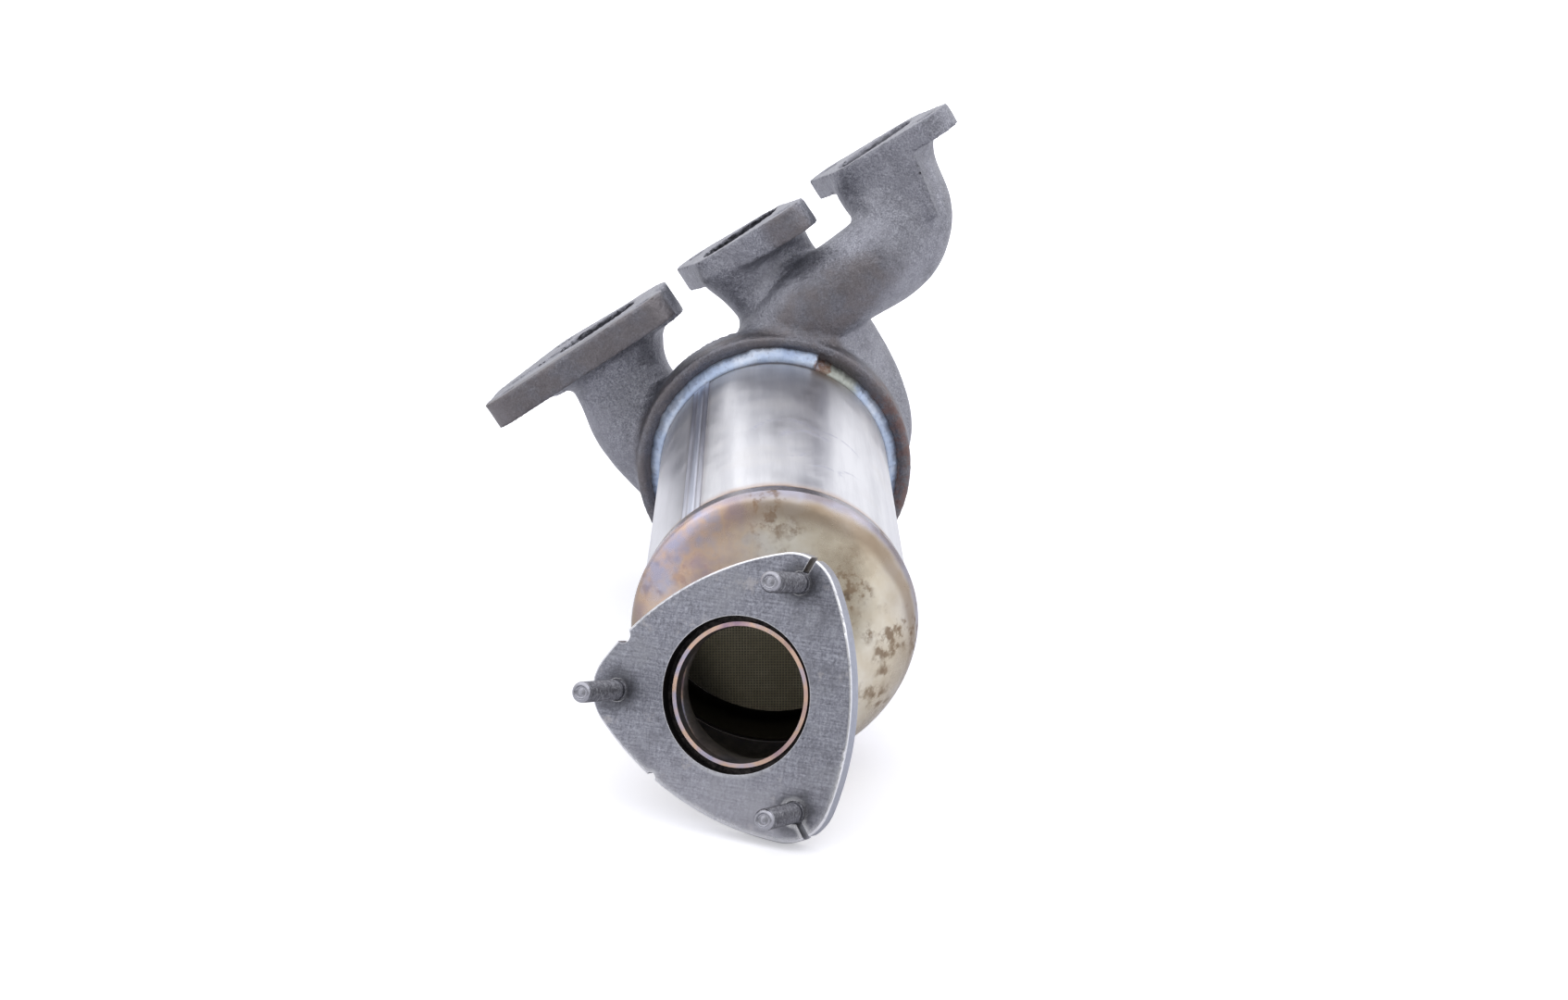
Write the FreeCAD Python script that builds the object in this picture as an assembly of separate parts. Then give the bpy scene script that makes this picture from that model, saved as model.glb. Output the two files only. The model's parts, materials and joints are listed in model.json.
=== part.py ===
import FreeCAD, Part
import math, os

V = FreeCAD.Vector

# ---------------------------------------------------------------- driving dimensions (mm, degrees)
# Working frame: can axis on Z, outlet seam at Z = 0, inlet above, cylinder head on the -Y side.

# can and what it holds
can_r = 54.0            # outside radius of the can
can_wall = 1.5          # stainless sheet of the can
can_len = 168.0         # outlet seam to the toe of the inlet weld
can_lap = 5.0           # can tucked into the outlet shell
can_insert = 10.0       # can tucked into the cast collar
strip_w = 9.5           # width of the lengthwise weld strip
strip_h = 0.35          # height of that strip over the can
strip_deg = -96.0       # its place round the can
mat_t = 3.2             # fibre mat round the ceramic
mat_short = 7.0         # mat stops this far inside each end of the ceramic
brick_z = 14.0          # outlet end of the ceramic above the seam
brick_len = 136.0       # length of the ceramic

# outlet shell and pipe
shell_wall = 1.6        # drawn sheet of the outlet shell
shell_out = 2.5         # bulge of the shell past the can radius
shell_lip = 7.0         # straight lip below the seam
pipe_r = 27.7           # outside radius of the outlet pipe
pipe_sink = 4.0         # pipe end behind the flange face
neck_at = 9.0           # straight pipe starts this far behind the face
# dome from lip to pipe: share of depth, lean and closing, then swing off the straight line
shell_form = [(0.12, 0.04, 0.02, 0.0), (0.25, 0.11, 0.13, 0.01), (0.39, 0.19, 0.31, 0.035),
              (0.52, 0.27, 0.51, 0.065), (0.62, 0.35, 0.68, 0.09), (0.72, 0.44, 0.83, 0.10),
              (0.84, 0.62, 0.96, 0.07)]
out_x = -17.7           # centre of the outlet flange face
out_y = -1.5
out_z = -54.3
out_tilt = 31.6         # pipe axis off the can axis
out_azim = -100.2       # direction it leans to

# outlet flange and studs
flange_t = 8.0          # plate thickness
flange_hole_r = 30.0    # clearance hole round the pipe
flange_side = 46.2      # centre to the middle of a side
flange_side_r = 115.0   # bulge radius of a side
flange_tip = 60.0       # centre to the tip of a lobe
die_roll = 1.2          # rolled front edge of the blanked plate
stud_pcr = 49.3         # stud circle radius
stud_r = 4.0            # M8
stud_seat_r = 4.4       # pressed shank inside the plate
stud_out = 32.0         # stud length in front of the face
stud_turn = 19.8        # angle of the first stud
stud_chamfer = 0.9
stud_dimple_r = 1.9     # dimple in the stud end
stud_dimple = 0.8
slot_w = 2.4            # relief slot from lobe tip to stud
notch_r = 3.2           # locating notch beside one lobe
notch_deg = 115.8
nick_r = 2.0            # smaller notch on the next side
nick_deg = 183.7

# welds
seam_bead = 2.6         # outlet seam fillet
inlet_bead_w = 6.5      # inlet weld, can surface out to the collar recess
inlet_bead_h = 7.0      # inlet weld, along the can
neck_bead = 1.0         # pipe to back of flange

# cast manifold
port_pitch = 79.0       # spacing of the cylinders
ports_x = 41.0          # middle port against the can axis
ports_y = -96.2         # head face against the can axis
ports_up = 51.0         # middle port above the toe of the inlet weld
head_yaw = 5.0          # crank line rises this much along +X
head_lean = 6.9         # head face leans this much off the can axis
port_w = 38.6           # oval port opening
port_h = 32.0
port_rim = 7.0          # flange left round the port
port_flange_t = 13.0    # flanges 1 and 2
port_flange3_t = 10.5   # flange 3
bolt_c = 25.0           # bolts beside the port along the crank line
bolt_t = 31.0           # and across it
lobe_r = 11.5           # flange radius round a bolt
bolt_hole_r = 4.5       # M8 clearance
end_bolt_c = 52.5       # third bolt of flange 1
end_bolt_t = 28.0
groove_c = 50.0         # gas recess in the face of flange 1
groove_t = 6.0
groove_r = 4.5
groove_deep = 4.0
pad_step = 3.5          # thicker pad under flange 1
pad_rim = 9.0           # pad left round the runner
spot_r = 13.5           # bolt head clearance behind the flanges
wall = 5.0              # cast wall
run_w = 25.0            # half width of a runner at the neck
run_h = 20.5            # half height of a runner at the neck
run3_r = 22.5           # radius of the long runner
flare = 3.0             # swell of a runner where it meets its flange
collar_step = 1.0       # collector set in from the collar
collar_h = 15.0         # straight height of the collar
collar_lip = 3.0        # rim of the collar forward of its weld recess
lip_w = 4.0             # width of that rim
collar_gap = 1.0        # dark groove between the inlet weld and that rim
collar_r = can_r + inlet_bead_w + collar_gap + lip_w
dome_up = 34.0          # collector dome above the collar
cap_flat = 0.12         # flat share of the collector top
bore_shoulder = 3.0     # step the can end stops on
web_deep = 42.0         # flat web under the third flange, from its face down
web_left = 17.0         # its ends along the ports, from the port centre
web_right = 12.0
web_back = 4.0          # its hidden side, across from the port centre
web_rake = 0.2          # lean along the ports for each unit of depth
spot_deep = 26.0        # depth of the bolt head clearance

# how the part lies: side of the can that is up, and rise of the can axis towards the inlet
lie_deg = -57.3
lie_rise = 1.5

Z0 = V(0, 0, 0)
UP = V(0, 0, 1)


def cyl(r, h, at=Z0, d=UP):
    return Part.makeCylinder(r, h, at, d)


def unit(v):
    w = V(v)
    w.normalize()
    return w


def local(origin, zdir, xdir):
    """Placement with the given origin, Z direction and X direction."""
    z = unit(zdir)
    y = unit(z.cross(xdir))
    x = y.cross(z)
    m = FreeCAD.Matrix(x.x, y.x, z.x, origin.x, x.y, y.y, z.y, origin.y,
                       x.z, y.z, z.z, origin.z, 0, 0, 0, 1)
    return FreeCAD.Placement(m)


def put(shape, plc):
    s = shape.copy()
    s.Placement = plc.multiply(s.Placement)
    return s


def spin(points, arcs=()):
    """Solid turned about Z from an (r, z) outline; arcs maps a segment to its middle point."""
    arcs = dict(arcs)
    edges = []
    n = len(points)
    for i in range(n):
        a = V(points[i][0], 0, points[i][1])
        b = V(points[(i + 1) % n][0], 0, points[(i + 1) % n][1])
        if i in arcs:
            m = V(arcs[i][0], 0, arcs[i][1])
            edges.append(Part.Arc(a, m, b).toShape())
        else:
            edges.append(Part.makeLine(a, b))
    return Part.Face(Part.Wire(edges)).revolve(Z0, UP, 360)


def cap(r, h, z):
    """Domed lid of radius r and height h on the plane z, flat at its very top."""
    flat = r * cap_flat
    return spin([(0, z), (r, z), (flat, z + h), (0, z + h)], {1: (r * 0.76, z + h * 0.62)})


def hull_face(circles):
    """Flat face round circles (x, y, r) given anticlockwise, joined by outer tangents."""
    n = len(circles)
    tang = []
    for i in range(n):
        x1, y1, r1 = circles[i]
        x2, y2, r2 = circles[(i + 1) % n]
        d = V(x2 - x1, y2 - y1, 0)
        run = d.Length
        d.normalize()
        right = V(d.y, -d.x, 0)
        s = (r1 - r2) / run
        nrm = d * s + right * math.sqrt(1 - s * s)
        tang.append((V(x1, y1, 0) + nrm * r1, V(x2, y2, 0) + nrm * r2, nrm))
    edges = []
    for i in range(n):
        x, y, r = circles[i]
        before, after = tang[i - 1], tang[i]
        a0 = math.atan2(before[2].y, before[2].x)
        sweep = (math.atan2(after[2].y, after[2].x) - a0) % (2 * math.pi)
        a = a0 + sweep / 2
        mid = V(x + r * math.cos(a), y + r * math.sin(a), 0)
        edges.append(Part.Arc(before[1], mid, after[0]).toShape())
        edges.append(Part.makeLine(after[0], after[1]))
    return Part.Face(Part.Wire(edges))


def oval(w, h):
    """Stadium face w wide and h high about the origin."""
    r = h / 2
    c = w / 2 - r
    return hull_face([(c, 0, r), (-c, 0, r)])


def solid_of(shape):
    return shape.Solids[0] if len(shape.Solids) == 1 else shape


# ---------------------------------------------------------------- can, strip, ceramic, mat
can_top = can_len + inlet_bead_h + can_insert
can = cyl(can_r, can_top + can_lap, V(0, 0, -can_lap)).cut(
    cyl(can_r - can_wall, can_top + can_lap, V(0, 0, -can_lap)))

half = math.degrees(strip_w / 2 / can_r)
strip = cyl(can_r + strip_h, can_len - seam_bead, V(0, 0, seam_bead)).cut(
    cyl(can_r, can_len - seam_bead, V(0, 0, seam_bead)))
wedge = Part.makeCylinder(can_r + 9, can_len, Z0, UP, 2 * half)
wedge.rotate(Z0, UP, strip_deg - half)
strip = strip.common(wedge)

brick_r = can_r - can_wall - mat_t
brick = cyl(brick_r, brick_len, V(0, 0, brick_z))
mat_len = brick_len - 2 * mat_short
mat = cyl(can_r - can_wall, mat_len, V(0, 0, brick_z + mat_short)).cut(
    cyl(brick_r, mat_len, V(0, 0, brick_z + mat_short)))

# ---------------------------------------------------------------- outlet shell with its pipe
lean = math.radians(out_tilt)
turn = math.radians(out_azim)
out_dir = V(math.sin(lean) * math.cos(turn), math.sin(lean) * math.sin(turn), -math.cos(lean))
face_c = V(out_x, out_y, out_z)
hinge = unit(UP.cross(out_dir))
out_plc = local(face_c, out_dir, hinge)
bulge_r = can_r + shell_out
root = face_c - out_dir * neck_at
swing_dir = unit(V(-math.cos(turn), -math.sin(turn), 0))


def neck_solid(inset):
    """Dome drawn down into the leaning pipe, inset inside its outer skin."""
    wires = []
    for deep, tip, shut, swing in [(0, 0, 0, 0)] + shell_form + [(1, 1, 1, 0)]:
        lip_c = V(0, 0, -shell_lip)
        at = lip_c + (root - lip_c) * deep + swing_dir * (swing * bulge_r)
        a = lean * tip
        d = V(math.sin(a) * math.cos(turn), math.sin(a) * math.sin(turn), -math.cos(a))
        ring = Part.makeCircle(bulge_r + (pipe_r - bulge_r) * shut - inset)
        wires.append(Part.Wire(put(ring, local(at, d, hinge))))
    return Part.makeLoft(wires, True, False)


tube_len = neck_at - pipe_sink
outer = spin([(0, 0), (can_r + shell_wall, 0), (bulge_r, -shell_lip), (0, -shell_lip)])
outer = outer.fuse(neck_solid(0)).fuse(cyl(pipe_r, tube_len, root, out_dir)).removeSplitter()
in_r = bulge_r - shell_wall
inner = spin([(0, 0), (can_r, 0), (can_r, -can_lap), (in_r, -shell_lip), (0, -shell_lip)])
inner = inner.fuse(neck_solid(shell_wall)).fuse(cyl(pipe_r - shell_wall, tube_len, root, out_dir))
shell = outer.cut(inner)

# ---------------------------------------------------------------- outlet flange
side_c = flange_side_r - flange_side
tip_c = (side_c ** 2 - (flange_side_r - flange_tip) ** 2) / (2 * (flange_side_r - flange_tip) - side_c)
tip_r = flange_tip - tip_c
plate = []
for k in range(3):
    a = math.radians(60 + 120 * k)
    lobe = V(math.cos(a), math.sin(a), 0) * tip_c
    before = V(math.cos(a - math.pi / 3), math.sin(a - math.pi / 3), 0)
    after = V(math.cos(a + math.pi / 3), math.sin(a + math.pi / 3), 0)
    t0 = lobe + unit(lobe + before * side_c) * tip_r
    t1 = lobe + unit(lobe + after * side_c) * tip_r
    plate.append(Part.Arc(t0, unit(lobe) * flange_tip, t1).toShape())
    b = a + 2 * math.pi / 3
    nxt = V(math.cos(b), math.sin(b), 0) * tip_c
    t2 = nxt + unit(nxt + after * side_c) * tip_r
    plate.append(Part.Arc(t1, after * flange_side, t2).toShape())
flange = Part.Face(Part.Wire(plate)).extrude(V(0, 0, -flange_t))
front = [e for e in flange.Edges if e.BoundBox.ZMin > -0.01]
flange = flange.makeFillet(die_roll, front)
flange.rotate(Z0, UP, stud_turn - 60)
for deg, r in ((notch_deg, notch_r), (nick_deg, nick_r)):
    off = math.radians((deg - stud_turn) % 120 - 60)
    rim = math.sqrt(flange_side_r ** 2 - (side_c * math.sin(off)) ** 2) - side_c * math.cos(off)
    a = math.radians(deg)
    flange = flange.cut(cyl(r, flange_t, V(rim * math.cos(a), rim * math.sin(a), -flange_t)))
studs = []
for k in range(3):
    a = math.radians(stud_turn + 120 * k)
    at = V(stud_pcr * math.cos(a), stud_pcr * math.sin(a), 0)
    slot = Part.makeBox(flange_tip, slot_w, flange_t, V(0, -slot_w / 2, -flange_t))
    slot.rotate(Z0, UP, math.degrees(a))
    slot.translate(at)
    flange = flange.cut(slot).cut(cyl(stud_seat_r, flange_t, V(at.x, at.y, -flange_t)))
    stud = spin([(0, -flange_t), (stud_seat_r, -flange_t), (stud_seat_r, 0), (stud_r, 0),
                 (stud_r, stud_out - stud_chamfer), (stud_r - stud_chamfer, stud_out),
                 (stud_dimple_r, stud_out), (0, stud_out - stud_dimple)])
    stud.translate(at)
    studs.append(put(stud, out_plc))
flange = flange.cut(cyl(flange_hole_r, flange_t, V(0, 0, -flange_t)))
flange = put(flange, out_plc)

# ---------------------------------------------------------------- welds of the sheet parts
seam = spin([(can_r, 0), (can_r + shell_wall, 0), (can_r, seam_bead)],
            {1: (can_r + shell_wall * 0.75, seam_bead * 0.6)})
neck_z = -flange_t
neck_weld = spin([(pipe_r, neck_z + 2.5), (flange_hole_r, neck_z + 2.5), (flange_hole_r, neck_z),
                  (flange_hole_r + neck_bead * 2, neck_z), (pipe_r, neck_z - neck_bead)],
                 {3: (flange_hole_r, neck_z - neck_bead * 0.7)})
neck_weld = put(neck_weld, out_plc)
face_z = can_len + inlet_bead_h
bead = spin([(can_r, can_len), (can_r + inlet_bead_w, face_z), (can_r, face_z)],
            {0: (can_r + inlet_bead_w * 0.62, can_len + inlet_bead_h * 0.36)})

# ---------------------------------------------------------------- cast manifold
yaw = math.radians(head_yaw)
tilt = math.radians(head_lean)
crank = V(math.cos(yaw), 0, math.sin(yaw))
out_n = unit(V(0, -math.cos(tilt), math.sin(tilt)) - crank * (math.sin(tilt) * math.sin(yaw)))
side = out_n.cross(crank)
mid_port = V(ports_x, ports_y, can_len + ports_up)


def at_port(i, c, deep, t):
    """Point c along the crank line from port i, deep behind its face, t across."""
    return mid_port + crank * (port_pitch * (i - 2) + c) - out_n * deep + side * t


def section(at, tan, wid, hw, hh, power):
    """Closed oval wire, hw by hh half sizes, squarer as power grows."""
    z = unit(tan)
    x = unit(wid - z * wid.dot(z))
    y = z.cross(x)
    pts = []
    for k in range(20):
        a = 2 * math.pi * k / 20
        ca, sa = math.cos(a), math.sin(a)
        px = math.copysign(abs(ca) ** (2 / power), ca) * hw
        py = math.copysign(abs(sa) ** (2 / power), sa) * hh
        pts.append(at + x * px + y * py)
    curve = Part.BSplineCurve()
    curve.interpolate(Points=pts, PeriodicFlag=True)
    return Part.Wire(curve.toShape()), x


def runner(stations, inset):
    """Solid swept through stations (point, half width, half height, power)."""
    wires = []
    wid = crank
    n = len(stations)
    for i in range(n):
        a = stations[max(i - 1, 0)][0]
        b = stations[min(i + 1, n - 1)][0]
        tan = b - a
        if i == 0:
            tan = out_n * -1
        at, hw, hh, power = stations[i]
        wire, wid = section(at, tan, wid, hw - inset, hh - inset, power)
        wires.append(wire)
    return Part.makeLoft(wires, True, False)


pw = port_w / 2 + wall
ph = port_h / 2 + wall
ft = port_flange_t
f3 = port_flange3_t
over = can_len + inlet_bead_h
run1 = [(at_port(1, -1, -1, 0), pw, ph, 2.6),
        (at_port(1, -3, ft - 1, 0), run_w + flare, run_h + flare, 2.6),
        (at_port(1, -5, ft + 8, 0), run_w, run_h, 2.5),
        (at_port(1, -8, 42, -1), run_w, run_h, 2.3),
        (V(-collar_r * 0.68, -collar_r * 0.48, over + 28), run_w, run_h, 2.2),
        (V(-collar_r * 0.56, -collar_r * 0.09, over + 22), run_w, run_h + 1, 2.2),
        (V(-collar_r * 0.30, collar_r * 0.09, over + 10), run_w, run_h + 1, 2.2)]
run2 = [(at_port(2, 0.5, -1, 0), pw, ph, 2.6),
        (at_port(2, 2, ft - 1, 0), run_w + flare, run_h + flare, 2.6),
        (at_port(2, 2.5, ft + 8, 0), run_w + 0.8, run_h, 2.4),
        (at_port(2, 5, 45, -1), run_w + 0.5, run_h, 2.2),
        (at_port(2, 7, 72, -4), run_w, run_h + 1, 2.2),
        (V(collar_r * 0.70, collar_r * 0.06, over + 27), run_w, run_h + 1, 2.2),
        (V(collar_r * 0.52, collar_r * 0.30, over + 19), run_w, run_h + 1, 2.2),
        (V(collar_r * 0.24, collar_r * 0.30, over + 8), run_w, run_h + 1, 2.2)]
run3 = [(at_port(3, -1, -1, 0), pw, ph, 2.8),
        (at_port(3, -2, f3 - 1, 0), run_w + 1, run_h + 1, 2.3),
        (at_port(3, -4.5, f3 + 8, 1), run_w, run_h - 0.5, 2.2),
        (at_port(3, -7, 34, -6), run3_r + 1.5, run3_r, 2.4),
        (at_port(3, -20, 45, -13), run3_r + 0.5, run3_r, 2.0),
        (at_port(3, -40, 46, -18), run3_r - 1, run3_r - 1, 2.0),
        (at_port(3, -64, 47, -18), run3_r - 1, run3_r - 1, 2.0),
        (V(collar_r * 0.45, -collar_r * 0.62, over + 25), run3_r, run3_r - 0.5, 2.0),
        (V(collar_r * 0.15, -collar_r * 0.36, over + 14), run3_r, run3_r, 2.0),
        (V(-collar_r * 0.05, -collar_r * 0.10, over + 6), run3_r, run3_r, 2.0)]

port_c = port_w / 2 - port_h / 2
rim_r = port_h / 2 + port_rim
plain = [(bolt_c, -bolt_t, lobe_r), (port_c, 0, rim_r), (-bolt_c, bolt_t, lobe_r), (-port_c, 0, rim_r)]
wide = [(bolt_c, -bolt_t, lobe_r), (port_c, 0, rim_r), (-bolt_c, bolt_t, lobe_r),
        (-end_bolt_c + 2, groove_t - 6, lobe_r), (-end_bolt_c, -end_bolt_t, lobe_r)]

rim_z = face_z - collar_lip
body = spin([(0, face_z), (can_r + inlet_bead_w, face_z), (collar_r - lip_w, rim_z + 0.4),
             (collar_r - lip_w + 0.6, rim_z), (collar_r - 1.2, rim_z), (collar_r, rim_z + 1.5),
             (collar_r, face_z + collar_h), (0, face_z + collar_h)])
body = body.fuse(cap(collar_r - collar_step, dome_up, face_z + collar_h))
below = Part.makeBox(900, 900, 200, V(-450, -450, face_z - 200))
throat = can_r - bore_shoulder
room = collar_r - collar_step - wall
core = spin([(0, face_z - 1), (can_r, face_z - 1), (can_r, can_top), (throat, can_top),
             (room, face_z + collar_h), (0, face_z + collar_h)])
core = core.fuse(cap(room, dome_up - wall, face_z + collar_h))
holes = []
port_at = [local(at_port(i, 0, 0, 0), out_n, crank) for i in (1, 2, 3)]
for i, run in ((1, run1), (2, run2), (3, run3)):
    thick = port_flange3_t if i == 3 else port_flange_t
    bolts = [(bolt_c, -bolt_t), (-bolt_c, bolt_t)]
    outline = plain
    if i == 1:
        bolts.append((-end_bolt_c, -end_bolt_t))
        outline = wide
    plc = port_at[i - 1]
    pipe = runner(run, 0)
    trim = put(Part.makeBox(400, 400, 60, V(-200, -200, -thick / 2)), plc)
    pipe = pipe.cut(trim).cut(below)
    for c, t in bolts:
        pipe = pipe.cut(put(cyl(spot_r, spot_deep, V(c, t, -spot_deep - thick)), plc))
        holes.append(put(cyl(bolt_hole_r, thick + 2, V(c, t, -thick - 1)), plc))
    foot = hull_face(outline).extrude(V(0, 0, -thick))
    if i == 1:
        pad_c = port_w / 2 - pad_rim + wall
        pad = [(pad_c, 0, rim_r - 1), (-pad_c - pad_step, 0, rim_r - 1)]
        foot = foot.fuse(hull_face(pad).extrude(V(0, 0, -thick - pad_step)))
    if i == 3:
        column = Part.makeBox(web_right + web_left, 100, thick, V(-web_left, -100 + web_back, -thick))
        near = hull_face(outline).extrude(V(0, 0, -thick)).common(column)
        under = [f for f in near.Faces if f.BoundBox.ZMax < 0.01 - thick][0]
        foot = foot.fuse(under.extrude(V(-web_rake, 0, -1) * (web_deep - thick)))
    foot = put(foot, plc)
    body = body.fuse(pipe.fuse(foot))
    core = core.fuse(runner(run, wall))
groove = hull_face([(0, 0, groove_r), (-groove_c, -groove_t, groove_r)]).extrude(V(0, 0, -groove_deep))
holes.append(put(groove, port_at[0]))
manifold = body.cut(core)
for h in holes:
    manifold = manifold.cut(h)

# ---------------------------------------------------------------- lay the part down and write it out
parts = [("Inlet_Manifold", manifold), ("Can_Shell", can), ("Can_Seam_Weld", strip),
         ("Ceramic_Monolith", brick), ("Support_Mat", mat), ("Outlet_Shell", shell),
         ("Outlet_Seam_Weld", seam), ("Inlet_Weld", bead), ("Outlet_Flange", flange),
         ("Flange_Weld", neck_weld), ("Stud_Upper", studs[0]), ("Stud_Left", studs[1]),
         ("Stud_Lower", studs[2])]
top = V(math.cos(math.radians(lie_deg)), math.sin(math.radians(lie_deg)), 0)
across = UP.cross(top)
lay = FreeCAD.Placement(Z0, FreeCAD.Rotation(V(1, 0, 0), lie_rise)).multiply(
    local(Z0, V(across.z, UP.z, top.z), V(across.x, UP.x, top.x)))
lying = [put(shape, lay) for name, shape in parts]
box = Part.makeCompound(lying).optimalBoundingBox(False, False)
drop = FreeCAD.Placement(V(-box.Center.x, -box.Center.y, -box.ZMin), FreeCAD.Rotation())

os.makedirs("parts", exist_ok=True)
for (name, first), shape in zip(parts, lying):
    solid_of(put(shape, drop)).exportStep("parts/%s.step" % name)
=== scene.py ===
"""Looks of a manifold catalytic converter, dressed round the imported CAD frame.

Every place and direction on the part comes from the frame: node boxes, mounts and CAD meshes.
Lengths are in metres unless a name ends in _MM. Angles are in radians unless a name ends in _DEG.
Turns round the can are counted from its right side over its top, as seen from the outlet end.
"""
import json
import math

import bpy
import numpy as np
from mathutils import Euler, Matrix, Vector, noise


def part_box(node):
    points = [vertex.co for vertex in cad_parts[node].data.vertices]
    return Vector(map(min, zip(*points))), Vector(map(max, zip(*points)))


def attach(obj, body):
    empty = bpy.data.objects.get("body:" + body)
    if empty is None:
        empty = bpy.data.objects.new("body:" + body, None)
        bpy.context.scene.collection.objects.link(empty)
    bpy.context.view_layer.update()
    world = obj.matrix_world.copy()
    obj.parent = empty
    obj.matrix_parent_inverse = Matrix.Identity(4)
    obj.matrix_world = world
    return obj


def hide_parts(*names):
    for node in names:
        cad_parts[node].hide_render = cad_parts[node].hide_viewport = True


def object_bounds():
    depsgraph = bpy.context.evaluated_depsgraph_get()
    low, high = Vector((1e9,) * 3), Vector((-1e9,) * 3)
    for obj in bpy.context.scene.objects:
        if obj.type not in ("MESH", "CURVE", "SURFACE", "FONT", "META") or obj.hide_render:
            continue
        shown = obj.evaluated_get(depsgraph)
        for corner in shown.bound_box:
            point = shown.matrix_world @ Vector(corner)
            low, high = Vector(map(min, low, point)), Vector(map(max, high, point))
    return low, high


MM = 0.001
SAME_PLANE = 1e-5                   # vertices this near a flat face lie in it
CAN_RISE = math.radians(1.5)        # the can's axis climbs towards the inlet

# ---------------------------------------------------------------- sizes of the finer pieces
# The casting. It is meshed again on a grid, then its creases are run into fillets.
CAST_GRID = 1.6 * MM
GRID_DEPTH = 8
MACHINED_GAP = 0.45 * MM            # the machined head faces lie this near the head plane
MACHINED_FACING = 0.9
COLLAR_PLAIN = 5 * MM               # from the collar's rim: no fillets or skin up to here
COLLAR_ROUGH = 9 * MM               # and all of them from here on
EDGE_SOFTENING, EDGE_PASSES = 0.35, 2
CREASE_RANGE = (0.03, 0.11)         # how far a crease's vertices are sunk, in grid steps
CREASE_KEPT, CREASE_PASSES = 0.97, 7    # how a crease's mark spreads to its neighbours
FILLET_RANGE = (0.12, 0.6)          # the marks between which the fillet fades in
FILLET_PULL, FILLET_PASSES = 0.5, 60
LUMP_SIZE, LUMP_HEIGHT_MM = 9 * MM, 0.16
GRIT_SIZE, GRIT_HEIGHT_MM = 3.6 * MM, 0.09
GRIT_SEED = 7.0

# The M8 studs.
THREAD_R = 3.98 * MM
THREAD_PITCH = 1.25 * MM
THREAD_DEPTH = 0.6 * MM
THREAD_NECK = 2.2 * MM              # plain length above the plate
THREAD_FLANK, THREAD_CREST = 1.35, 0.12     # how steep the flanks and how wide the crests are
THREAD_RUNOUT = 0.3                 # share of its depth with which the thread ends
SHANK_SHARE, NECK_SHARE = 1.09, 0.97    # of the thread's radius
SHANK_TOP = -0.05 * MM              # just under the plate's face
POINT_LENGTH = 1.3 * MM
RINGS_PER_PITCH = 9
STUD_SIDES = 40
STUD_POINT_MM = [(0.9, 3.75), (0.15, 3.1), (0, 2.95), (0, 2.65), (0.2, 2.45), (1.1, 2.2),
                 (1.0, 1.5), (0.6, 0.7), (0.7, 0.1)]    # (below the top, radius)

# The inlet weld. It ends in a step over its own start. Before that end it is laid wide, and past
# it, where it starts, it lies low.
BEAD_STOP_DEG = 69
BEAD_STEP_DEG = 0.7
BEAD_WIDE_DEG = (29, 34)            # before its end: wide up to the first, as usual from the second
BEAD_LOW_DEG = (25, 75)             # past its end: low up to the first, as usual from the second
BEAD_RINGS, BEAD_STEPS = 900, 12
BEAD_WIDTH_MM, BEAD_WIDER_MM, BEAD_NARROWER_MM, BEAD_RAGGED_MM = 5.7, 1.45, 0.8, 0.6
BEAD_RISE_MM, BEAD_HIGHER_MM, BEAD_LOWER_MM, BEAD_UNEVEN_MM = 1, 0.9, 0.75, 0.25
BEAD_BULGE = 0.55                   # how far the middle of its face stands out, of its rise
BEAD_LEAN = 1.5                     # 1 is a flat face, more is hollow at the can
BEAD_ROOT = 0.3 * MM                # how far it goes into the can and the collar
MARK_STRETCH_MM = 6
# Lumps and pits: (turn in degrees, share of the width, size, height).
BEAD_MARKS_MM = [(76, 0.5, 1.7, 0.4), (76, 0.5, 0.9, -0.7), (43, 0.6, 0.8, 0.6),
                 (45, 0.75, 0.6, 0.5), (24, 0.9, 0.9, 0.8), (101, 0.95, 0.9, 0.7),
                 (132, 0.5, 0.6, 0.3), (3, 0.7, 0.7, 0.5)]

# Rub marks on the can: arcs given by the turn in degrees and the distance from the outlet seam of
# their middle, their radius and width, and where each starts and ends in degrees.
SCUFFS_MM = [(84, 72, 15, 3.2, 20, 150), (74, 62, 13, 3.8, 25, 120), (84, 48, 7, 1.8, 200, 265),
             (62, 66, 16, 1.8, 60, 130), (66, 28, 9, 1.6, 40, 120), (50, 34, 11, 1.6, 10, 80)]

# The plate's edge faces this near the outlet's axis are its bore.
BORE_REACH = (0.034, 0.032)

# The brick's square channels.
CELL = 1.2 * MM
WALL_SHARE = 0.24
WALL_SOFT = 0.05

# ---------------------------------------------------------------- the studio's numbers
FLOOR_REACH = 6.0
FLOOR_GLOW = (0.43, 1.0)            # near the part and far from it, to the camera alone
FLOOR_FADE = (0.3, 1.2)             # distances from the frame's origin
# (name, place, (width, height), watts)
LAMPS = [("overhead", (0.1, 0.35, 1.45), (3.2, 2.8), 23),
         ("left", (-1.3, -0.5, 0.7), (1.6, 1.6), 5),
         ("right", (1.3, -0.2, 0.6), (1.4, 1.4), 4)]
LAMP_COLOUR = (0.955, 0.96, 1.0)
SKY_COLOUR = (0.97, 0.975, 1.0)
SKY_TO_CAMERA, SKY_TO_MATT = 1.02, 0.55
SKY_BEHIND, SKY_AHEAD, SKY_TOP = 0.4, 1.2, 0.75     # as glossy surfaces see it
CAMERA_PLACE = (0.0219, -0.8490, 0.3814)
CAMERA_AIM = (0.0296, 0.0, 0.0830)
CAMERA_LENS_MM = 47.8
CAMERA_SENSOR_MM = 36.0
CAMERA_CLIP = (0.05, 50)

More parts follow.
